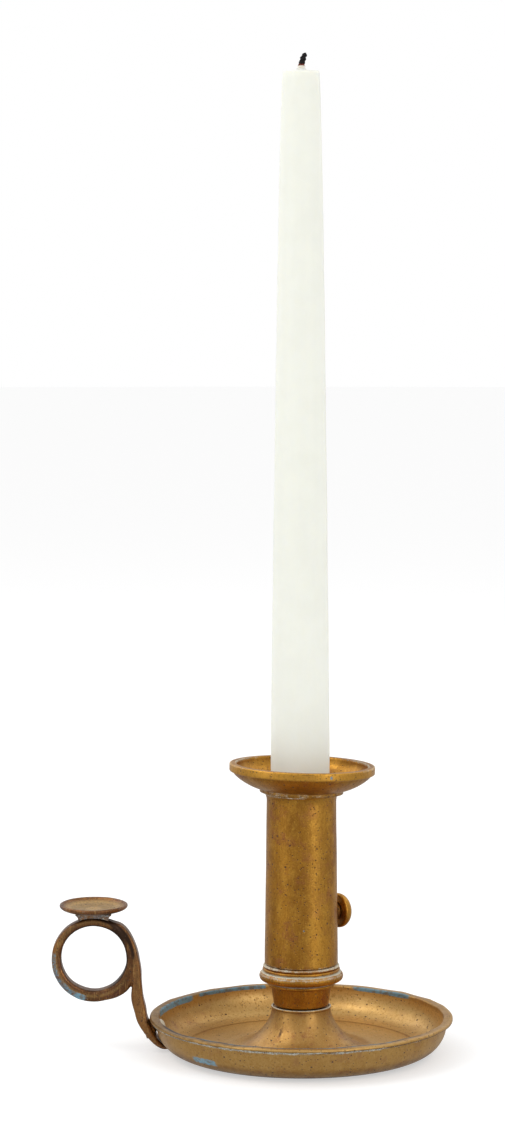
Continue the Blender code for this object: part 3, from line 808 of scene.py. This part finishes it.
def tube_marks(x, y, z, r, azimuth):
    """Polish at the joints, one green spot in front, browner above and by the slot, painted shade down its
    left side, and a painted highlight band to the right of its front.
    """
    foot = near(z, TUBE.foot + 4.3, 0.8)
    top = near(z, TUBE.top - 3.1, 0.8) * (0.4 + 0.6 * between(x, -20, 0, 4))
    spot = near(z, 48, 1.5) * near(x, 0.8, 1.3) * between(y, -20, -5, 2)
    slot = near(azimuth, KNOB_AZIMUTH, 14) * between(z, 38, 95, 3)
    # Painted shade: the tube's left side is darkened.
    left = near(azimuth, 172, 40) * 0.25
    upper = 0.16 * between(z, 64, 84, 12)
    dull = 0.4 * top + 0.3 * slot + left + upper
    # The last mark is a painted highlight band to the right of the front.
    return (0.45 * foot + 0.55 * top, 0.6 * spot, dull, 0.45 * near(azimuth, -62, 34))


def stem_tube():
    """Slightly tapered tube with a flared top, spigots at both ends and the ejector's slot."""
    foot_z = CUP.top + GAP
    top_z = NOZZLE.foot - GAP
    outline = (
        [(BORE, foot_z - 4.2), (SPIGOT, foot_z - 4.2), (SPIGOT, foot_z), (13.5, foot_z)]
        + rounded(13.5, foot_z + 0.25, 0.25, -90, 0, 3)
        + curve((14.0, top_z - 3.6), (1.0, 3.1), 180, 90, 14)
        + [(14.1, top_z - 0.1), (14.0, top_z), (SPIGOT, top_z), (SPIGOT, TUBE.top), (BORE, TUBE.top)]
    )
    piece = turned("drawn_tube", outline, STEM_SIDES, stem_brass, uneven=0.09, **STEM_PLACE)
    half_width = STUD_RADIUS + GAP
    slot = rounded(SLIDE_DOWN + 1.4, 0, half_width, -90, 90, 16)
    slot += rounded(-SLIDE_UP - 1.0, 0, half_width, 90, 270, 16)
    tool = extruded("slot_tool", slot, 8, 18, None, **across_stem(KNOB_AZIMUTH, KNOB_Z))
    combine(piece, tool)
    stands_for(piece, "stem_tube", "holder", tube_marks)


def nozzle_marks(x, y, z, r, azimuth):
    """Polish on the top ring's inner edge and at the neck, and one green spot in front. The ring's pale
    edges are stronger at the left and right, partly a painted grazing sheen.
    """
    inner_edge = near(r, 24.9, 0.7) * between(z, NOZZLE.top - 1.2, NOZZLE.top + 2, 0.3)
    neck = between(r, 14, 16.2, 0.3) * between(z, NOZZLE.foot - 1, NOZZLE.foot + 1.0, 0.3)
    spot = near(x, 10.5, 1.7) * near(z, NOZZLE.top - 1.6, 1.5) * between(y, -30, -20, 2)
    scar = between(x, 0, 4, 1.0) * near(z, NOZZLE.top - 0.6, 0.7) * between(y, -30, -20, 2)
    outer = between(r, 26.4, 27.5, 0.2) * between(z, NOZZLE.top - 0.7, NOZZLE.top + 2, 0.2)
    dish = between(z, NOZZLE.top - 8, NOZZLE.top - 1, 0.5) * between(r, 12, 25, 0.3)
    band = between(r, 26.8, 28, 0.2)
    # Pale marks stronger at the left and right as seen from the front: partly residue, partly a painted
    # grazing sheen.
    sides = abs(x) / max(r, 1)
    return (
        0.6 * inner_edge * sides + 0.38 * neck + 0.45 * outer * sides,
        0.75 * spot,
        0.5 * scar + 0.35 * neck,
        0.2 * dish + 0.8 * band,
    )


def nozzle():
    """Flared drip cup round the candle, with a plain band and a dished inside. It leans a little."""
    foot_z = NOZZLE.foot
    band_z = NOZZLE.top - 3.0
    bore = SPIGOT + GAP
    outer = NOZZLE.radius - 0.1
    dish_floor = Node("stem_tube").top + 0.4
    dish = (24.6 - bore - 0.3, NOZZLE.top - 0.3 - dish_floor)
    outline = (
        [(bore, foot_z), (14.75, foot_z), (14.75, foot_z - NOZZLE_SKIRT), (15.3, foot_z - NOZZLE_SKIRT)]
        + rounded(15.3, foot_z - 0.2, 0.35, -90, 0, 4)
        + [(15.65, foot_z + 0.7)]
        + curve((15.65, band_z), (outer - 16.7, band_z - foot_z - 0.75), -88, -12, 16, 1.35)
        + [(outer - 0.95, band_z)]
        + rounded(outer - 0.45, band_z + 0.45, 0.45, -90, 0)
        + rounded(outer - 0.5, NOZZLE.top - 0.5, 0.5, 0, 90)
        + rounded(25.1, NOZZLE.top - 0.35, 0.35, 90, 180, 4)
        + curve((bore + 0.3, NOZZLE.top - 0.5), dish, 0, -90, 24)
        + [(bore, dish_floor - 0.3)]
    )
    piece = turned("turned_nozzle", outline, STEM_SIDES, stem_brass, spacing=0.6, **STEM_PLACE)
    mark(piece, nozzle_marks)
    lean = Matrix.Rotation(math.radians(NOZZLE_LEAN), 4, "Y")
    lean = lean @ Matrix.Rotation(math.radians(-NOZZLE_DIP), 4, "X")
    middle = Vector((AXIS_X, 0, foot_z)) * MM
    drop = Vector((0, 0, -NOZZLE_DROP * MM))
    piece.data.transform(Matrix.Translation(middle + drop) @ lean @ Matrix.Translation(-middle))
    stands_for(piece, "nozzle", "holder")


# ---- The ejector


def slide_marks(x, y, z, r, azimuth):
    """Dull, with bright streaks where it slides in the tube."""
    return (0.0, 0.0, 0.3, 0.4 * between(r, 11.0, 11.5, 0.2))


def ejector_pusher():
    """Inverted cup that slides in the stem and lifts the candle."""
    foot, top, radius = PUSHER.foot, PUSHER.top, PUSHER.radius
    outline = (
        [(0, top), (radius - 0.5, top)]
        + rounded(radius - 0.5, top - 0.5, 0.5, 90, 0)
        + [(radius, foot), (radius - 0.9, foot), (radius - 0.9, top - 2.4)]
        + rounded(radius - 1.8, top - 2.4, 0.9, 0, 90)
        + [(0, top - 1.5)]
    )
    piece = turned("sliding_pusher", outline, 96, fixing_brass, **STEM_PLACE)
    stud_hole = (STUD_RADIUS + GAP, KNOB_AZIMUTH, KNOB_Z)
    rivet_hole = (SPRING_HOLE, KNOB_AZIMUTH + 180, SPRING_RIVET_Z)
    for hole, azimuth, z in (stud_hole, rivet_hole):
        combine(piece, pin("cross_hole", hole, 8, 13, **across_stem(azimuth, z)))
    stands_for(piece, "ejector_pusher", "ejector", slide_marks)


def ejector_spring():
    """Bowed leaf spring, riveted inside the pusher, which drags on the stem's bore."""
    inside = PUSHER.radius - 2.4
    stations = [
        (inside, 57.0, 0.5, 5.2),
        (inside, 56.2, 0.5, 6.0),
        (inside, 50.0, 0.5, 6.0),
        (inside, 45.0, 0.5, 6.0),
        (inside + 0.9, 42.0, 0.5, 5.6),
        (inside + 1.7, 39.8, 0.5, 5.2),
        (inside + 0.9, 37.8, 0.5, 4.4),
    ]
    placing = {"turn": (0, 0, KNOB_AZIMUTH + 180), **STEM_PLACE}
    piece = swept("leaf_spring", smooth_route(stations, 8), 0.12, fixing_brass, **placing)
    placing = across_stem(KNOB_AZIMUTH + 180, SPRING_RIVET_Z)
    combine(piece, pin("spring_hole", SPRING_HOLE, 7, 11, **placing))
    stands_for(piece, "ejector_spring", "ejector", slide_marks)
    rivet = (
        [(0, inside - 1.6)]
        + curve((0, inside - 0.55), (1.9, 1.05), -85, 0, 12)
        + [(0.9, inside - 0.55), (0.9, PUSHER.radius - 0.3), (0.8, PUSHER.radius - 0.2)]
        + [(0, PUSHER.radius - 0.2)]
    )
    piece = turned("domed_spring_rivet", rivet, 48, fixing_brass, spacing=0.3, **placing)
    stands_for(piece, "spring_rivet", "ejector", slide_marks)


def knob_marks(x, y, z, r, azimuth):
    """Bright on its dome where fingers push it, dark at its underside."""
    out = r - KNOB_SEAT
    return (0.0, 0.0, 0.25 * near(out, 0.0, 0.6), 0.1 + 0.5 * between(out, 3.2, 6, 1.2))


def ejector_knob():
    """Headed stud through the slot, its collar, and the mushroom knob outside."""
    placing = across_stem(KNOB_AZIMUTH, KNOB_Z)
    tip = KNOB_SEAT + 2.6
    stud = [(0, 8.5), (2.4, 8.5), (2.7, 8.8), (2.7, 9.6), (STUD_RADIUS, 9.6)]
    stud += [(STUD_RADIUS, tip - 0.3), (STUD_RADIUS - 0.3, tip), (0, tip)]
    piece = turned("headed_stud", stud, 48, fixing_brass, spacing=0.4, **placing)
    stands_for(piece, "ejector_stud", "ejector", dull)
    bore = STUD_RADIUS + GAP
    top = KNOB_SEAT - GAP
    collar = [(bore, 13.95), (3.45, 13.95), (3.6, 14.1), (3.3, 14.5)]
    collar += [(3.3, top - 0.15), (3.15, top), (bore, top)]
    piece = turned("turned_collar", collar, SMALL_SIDES, fixing_brass, spacing=0.3, **placing)
    stands_for(piece, "ejector_collar", "ejector", knob_marks)
    dome = KNOB_SEAT + 0.95
    socket = tip + GAP
    shape = (
        [(0, socket), (bore, socket), (bore, KNOB_SEAT), (KNOB_RADIUS - 0.7, KNOB_SEAT)]
        + rounded(KNOB_RADIUS - 0.65, KNOB_SEAT + 0.65, 0.6, -90, 0)
        + curve((0, dome), (KNOB_RADIUS - 0.05, KNOB_SEAT + 5.0 - dome), 2, 86, 22)
        + [(0, KNOB_SEAT + 5.0)]
    )
    piece = turned("mushroom_knob", shape, 96, stem_brass, spacing=0.4, **placing)
    stands_for(piece, "ejector_knob", "ejector", knob_marks)


# ---- The handle


def handle_marks(x, y, z, r, azimuth):
    """Green round the ring's lower side, pale where the strip meets the rim, dark near the saddle, painted
    shade round the ring's bore, and a painted highlight line along the ring's faces.
    """
    far = -x
    ring = math.hypot(far + RING_X, z - RING_Z)
    turn = math.degrees(math.atan2(z - RING_Z, far + RING_X))
    outer = between(ring, 14.3, 20, 0.8) * between(far, 66.5, 100, 1.5)
    low = outer * (0.50 * between(turn, -72, 4, 14) + 0.20 * between(turn, -112, -70, 12))
    rim = near(z, RIM_TOP - 1.2, 2.0) * between(far, 57, 58.4, 0.8)
    # Painted shade round the ring's bore and inner edge.
    inner = between(ring, 0, RING_BORE + 0.35, 0.4)
    crown = between(turn, 45, 140, 25) * between(ring, 10, 17, 1)
    body = between(abs(turn), 130, 180, 20) * between(ring, 12, 15.2, 0.4)
    crease = near(ring, RING_BORE + 2.7, 1.1) * between(turn, 115, 165, 30)
    # A painted highlight line along the middle of the ring's front and back faces.
    ridge_highlight = near(ring, RING_BORE + 1.9, 1.0) * between(abs(y), 2.6, 4, 0.4) * between(far, 67, 100, 2)
    edge = near(ring, 16.0, 0.8) * between(turn, -10, 90, 20)
    strip = between(far, 55, 62.6, 0.8) * between(abs(y), 3.0, 6, 0.5)
    foot = between(z, 0, 9, 2) * between(far, 50, 59, 1)
    return (
        0.3 * rim + 0.2 * edge + 0.18 * foot,
        low + 0.25 * rim,
        0.45 * inner + 0.45 * crown + 0.4 * body + 0.6 * crease + 0.25 * foot,
        0.40 * ridge_highlight + 0.14 * strip + 0.45 * edge,
    )


def handle():
    """Cast handle: a leaf-ended strip that rises past the rim and runs into a finger ring."""
    # (distance from the stem's axis, height, thickness, width)
    strip = [
        (49.8, 1.0, 0.8, 2.6),
        (52.0, 1.9, 1.6, 7.0),
        (54.7, 4.2, 2.4, 9.4),
        (57.4, 7.9, 3.2, 9.8),
        (59.4, 11.6, 3.8, 9.2),
        (60.5, 15.9, 4.4, 8.6),
        (61.6, 20.9, 4.5, 8.2),
        (61.6, 26.5, 3.5, 8.0),
        (61.8, 33.1, 2.8, 7.6),
        (63.1, 39.4, 2.5, 7.2),
        (65.3, 44.3, 2.3, 6.8),
        (67.6, 47.2, 1.9, 6.0),
        (69.8, 48.5, 1.1, 5.4),
        (72.2, 49.7, 0.5, 4.6),
    ]
    facing = {"turn": (0, 0, 180), **STEM_PLACE}
    piece = swept("cast_handle", smooth_route(strip, 8), 1.1, handle_brass, **facing)
    stations = []
    for side in range(120):
        angle = 360 * side / 120
        deep = RING_DEPTH - 0.65 * math.sin(math.radians(angle)) - 0.8 * near(angle, 168, 45)
        deep += 1.3 * near(angle, 224, 34)
        middle = RING_BORE + deep / 2
        x = -RING_X + middle * math.cos(math.radians(angle))
        z = RING_Z + middle * math.sin(math.radians(angle))
        stations.append((x, z, deep, RING_WIDTH))
    ring = swept("ring_tool", stations, 1.15, None, loop=True, **facing)
    combine(piece, ring, "UNION")
    combine(piece, pin("boss_tool", 3.1, 1.6, 5.5, **RIVET_PLACE), "UNION")
    combine(piece, pin("shoulder_tool", 1.7, 1.5, 5.5, **SHOULDER_PLACE), "UNION")
    melt_together(piece, 0.3, 5)
    combine(piece, pin("rivet_socket", RIVET_HOLE, 0, 5.2, **RIVET_PLACE))
    piece.data.shade_smooth()
    piece.data.set_sharp_from_angle(angle=math.radians(50))

    def casting(x, y, z, r, azimuth):
        """The faint lumpiness of a worn casting."""
        return (wander((x, y, z), 5, 0.16), 0, wander((z, x, y), 6, 0.12))

    warp(piece, casting)
    stands_for(piece, "handle", "holder", handle_marks)


def rivet_marks(x, y, z, r, azimuth):
    """Old polish all round the head, inside the pan."""
    head = between(r, 0, LINING_RADIUS + 0.2, 0.3)
    return (0.85 * head, 0.35 * head, 0.6 * (1 - head), 0.2)


def handle_rivet():
    """Domed rivet that holds the handle's foot through the pan's wall."""
    outline = (
        [(0, 4.9), (1.1, 4.9), (1.2, 4.8), (1.2, -0.75), (2.75, -0.75)]
        + rounded(2.75, -0.9, 0.15, 90, 0, 3)
        + curve((0, -0.95), (2.9, 1.45), 0, -85, 14)
        + [(0, -2.4)]
    )
    piece = turned("domed_rivet", outline, SMALL_SIDES, pan_brass, spacing=0.3, uneven=0.12, **RIVET_PLACE)
    stands_for(piece, "handle_rivet", "holder", rivet_marks)


def rest_marks(x, y, z, r, azimuth):
    """Bright worn dish, pale rim, and green on the edge that is farthest from the stem."""
    across = x - RING_X
    out = math.hypot(across, y / REST_OVAL)
    rim = between(out, 11.6, 13, 0.4) * between(z, REST.top - 0.7, REST.top, 0.4)
    far_edge = between(across, -13, -10.5, 1.2) * between(z, REST.top - 2.5, REST.top, 0.6)
    under = between(z, REST.foot, REST.top - 1.6, 0.5) * between(out, 3, 12.4, 1)
    dish = between(out, 0, 9, 3) * between(z, REST.top - 3, REST.top - 0.6, 0.5)
    return (0.30 * rim + 0.2 * under, 0.35 * far_edge, 0.40 * under + 0.3 * rim, 1.3 * dish)


def thumb_rest():
    """Oval dished thumb rest."""
    rim = 0.6
    radius = REST.radius
    top = REST.top
    outline = (
        [(0, top - 1.9)]
        + curve((0, top - 0.4), (radius - 2 * rim, 1.5), -88, -2, 24)
        + rounded(radius - rim, top - rim, rim, 110, 0, 8)
        + curve((0, top - 0.8), (radius, 2.6), 0, -85, 24)
        + [(0, top - 3.4)]
    )
    piece = turned("dished_rest", outline, 128, handle_brass, place=(AXIS_X + RING_X, 0, 0))
    for vertex in piece.data.vertices:
        vertex.co.y *= REST_OVAL

    def handwork(x, y, z, r, azimuth):
        """A rest that isn't quite flat."""
        return (0, 0, -abs(wander((x, y, 9), 14, 0.35)))

    warp(piece, handwork)
    stands_for(piece, "thumb_rest", "holder", rest_marks)


def thumb_saddle():
    """Block between the ring's top and the thumb rest, hollowed to sit on the ring."""
    seat = 15.25 + GAP
    half_foot = 5.6
    half_top = 6.7
    half_width = 4.15
    swing = math.degrees(math.asin(half_foot / seat))
    top = SADDLE.top
    corner = RING_Z + math.sqrt(seat**2 - half_foot**2)
    flare = (half_top - half_foot, top - 0.35 - corner)
    outline = rounded(0, RING_Z, seat, 90 + swing, 90 - swing, 32)
    outline += curve((half_top, corner), flare, 180, 90, 8)[1:]
    outline += [(half_top, top), (-half_top, top)]
    outline += curve((-half_top, corner), flare, 90, 0, 8)[:-1]
    placing = {"place": (AXIS_X + RING_X, 0, 0), "turn": (90, 0, 0)}
    piece = extruded("hollowed_saddle", outline, -half_width, half_width, handle_brass, **placing)
    ease_edges(piece, 0.12, 50)
    stands_for(piece, "thumb_saddle", "holder", grimy)


# ---- The candle


def candle_radius(below_top):
    """The candle's radius at a distance below its top."""
    share = min(below_top / TAPER_LENGTH, 1.0)
    return TIP_RADIUS + (CANDLE_RADIUS - TIP_RADIUS) * share**0.65


def candle():
    """Tapered dinner candle with a small cone of wax round its wick."""
    top = CANDLE_FLAT
    foot = CANDLE.foot
    wick_foot = top - 4.9
    depths = [0.3 + (TAPER_LENGTH - 1) * (step / 60) ** 1.4 for step in range(61)]
    side = [(candle_radius(depth), top - depth) for depth in depths]
    outline = (
        [(WICK_BORE, wick_foot), (WICK_BORE, top + 0.75)]
        + rounded(1.6, top + 0.75, 0.14, 170, 40, 4)
        + curve((3.3, top + 0.85), (1.55, 0.85), 190, 265, 8)
        + [(4.0, top - 0.02)]
        + rounded(TIP_RADIUS - 0.35, top - 0.3, 0.3, 88, 10, 6)
        + side
        + [(CANDLE_RADIUS, foot + 0.5)]
        + rounded(CANDLE_RADIUS - 0.5, foot + 0.5, 0.5, 0, -90, 4)
        + [(WICK_BORE, foot)]
    )
    piece = turned("dipped_taper", outline, 128, wax, spacing=1.6, uneven=0.10, **CANDLE_PLACE)
    combine(piece, pin("taper_core", 1.5, foot, wick_foot, **CANDLE_PLACE), "UNION")
    stands_for(piece, "candle_wax", "candle")


def candle_wick():
    """Braided cotton wick: three strands wound together, bent over a little at its charred tip."""
    low = CANDLE_FLAT - 4.7
    high = WICK.top - 0.1
    bm = bmesh.new()
    steps = 96
    sides = 12
    for strand in range(3):
        rings = []
        for step in range(steps + 1):
            share = step / steps
            turn = math.radians(120 * strand + 360 * 2.6 * share)
            above = max(0.0, (share - 0.45) / 0.55)
            lean = (1.5 * above**1.6, -0.15 * above**2)
            tip = math.sqrt(1.02 - (max(0.0, share - 0.86) / 0.14) ** 2)
            fray = (1 - 0.15 * above) * tip
            z = low + 0.55 + (high - low - 1.1) * share
            wind = 0.6 * fray
            middle = Vector((lean[0] + wind * math.cos(turn), lean[1] + wind * math.sin(turn), z))
            waxed = between(z, low, CANDLE_FLAT + 1.6, 0.7)
            thick = 0.72 * fray + 0.18 * waxed
            ring = []
            for side in range(sides):
                angle = 2 * math.pi * side / sides
                offset = Vector((thick * math.cos(angle), thick * math.sin(angle), 0))
                ring.append(bm.verts.new(middle + offset))
            rings.append(ring)
        skin(bm, rings)
        bm.faces.new(rings[0])
        bm.faces.new(rings[-1])
    piece = new_piece("braided_wick", bm, wick_cotton, **CANDLE_PLACE)
    melt_together(piece, 0.11, 2)
    piece.data.shade_smooth()

    def crumbling(x, y, z, r, azimuth):
        """The rough surface of the char."""
        share = between(z, CANDLE_FLAT + 1.5, WICK.top, 1.0)
        return (wander((x, y, z), 0.7, 0.16 * share), wander((y, z, x), 0.7, 0.16 * share), 0)

    warp(piece, crumbling)
    stands_for(piece, "candle_wick", "candle")


drip_pan()
stem_cup()
stem_fixing()
stem_tube()
nozzle()
ejector_pusher()
ejector_spring()
ejector_knob()
handle()
handle_rivet()
thumb_rest()
thumb_saddle()
candle()
candle_wick()


# ---- Camera, light and floor


def camera():
    """A long lens, a little above the pan, looking slightly down."""
    away, height, downward = 1.268, 0.3023, 5.36
    data = bpy.data.cameras.new("camera")
    data.lens = 109.3
    data.clip_start = 0.05
    data.clip_end = 20
    bpy.context.scene.camera = added("camera", data, (0, -away, height), (90 - downward, 0, 0))


def softbox(name, azimuth, elevation, distance, width, height, brightness):
    """A soft rectangular light that faces the object at its nozzle's height."""
    data = bpy.data.lights.new(name, "AREA")
    data.shape = "RECTANGLE"
    data.size = width
    data.size_y = height
    data.energy = brightness * math.pi * width * height
    across, up = math.radians(azimuth), math.radians(elevation)
    outward = Vector((math.cos(across) * math.cos(up), math.sin(across) * math.cos(up), math.sin(up)))
    made = added(name, data, Vector((0, 0, 0.12)) + outward * distance)
    made.rotation_euler = outward.to_track_quat("Z", "Y").to_euler()


def studio():
    """A white tent: bright above, softer round the sides, and plain white where the camera looks."""
    world = bpy.data.worlds.new("white_tent")
    bpy.context.scene.world = world
    world.use_nodes = True
    tree = world.node_tree
    white = (1, 1, 1, 1)
    low, high, low_glow, high_glow = -0.6, 0.9, 0.43, 0.80
    place = add_node(tree, "ShaderNodeTexCoord").outputs["Generated"]
    height = add_node(tree, "ShaderNodeSeparateXYZ", {0: place}).outputs[2]
    glow = {0: height, 1: low, 2: high, 3: low_glow, 4: high_glow}
    shade = add_node(tree, "ShaderNodeMapRange", glow).outputs[0]
    tent = tree.nodes["Background"]
    plug(tree, tent, {"Color": white, "Strength": shade})
    backdrop = add_node(tree, "ShaderNodeBackground", {"Color": white})
    seen = add_node(tree, "ShaderNodeLightPath").outputs["Is Camera Ray"]
    chooser = add_node(tree, "ShaderNodeMixShader", {0: seen, 1: tent.outputs[0], 2: backdrop.outputs[0]})
    plug(tree, tree.nodes["World Output"], {"Surface": chooser.outputs[0]})


def floor():
    """A plain near-white floor, which glows a little and which polished metal doesn't mirror."""
    mesh = bpy.data.meshes.new("floor")
    bm = bmesh.new()
    bmesh.ops.create_circle(bm, cap_ends=True, segments=96, radius=6)
    bm.to_mesh(mesh)
    bm.free()
    made = added("floor", mesh, (0, 0, -0.0002))
    white = Painter("white_floor").finish(
        Base_Color=(0.60, 0.60, 0.60, 1),
        Roughness=0.9,
        Emission_Color=(1, 1, 1, 1),
        Emission_Strength=0.50,
    )
    mesh.materials.append(white)
    made.visible_glossy = False


camera()
studio()
floor()
# (azimuth and elevation in degrees, distance, width and height in metres, radiance)
softbox("key_right", -48, 16, 1.3, 0.5, 1.1, 2.0)
softbox("fill_left", -148, 15, 1.4, 0.7, 1.0, 0.95)
softbox("rear_left", 140, 36, 1.3, 1.0, 0.8, 1.05)
softbox("high_left", 199, 54, 1.3, 0.7, 0.6, 2.7)
softbox("high_right", -52, 52, 1.3, 0.6, 0.5, 0.8)
softbox("rear_right", 40, 36, 1.3, 0.8, 0.8, 0.6)
bpy.context.scene.view_settings.view_transform = "Standard"
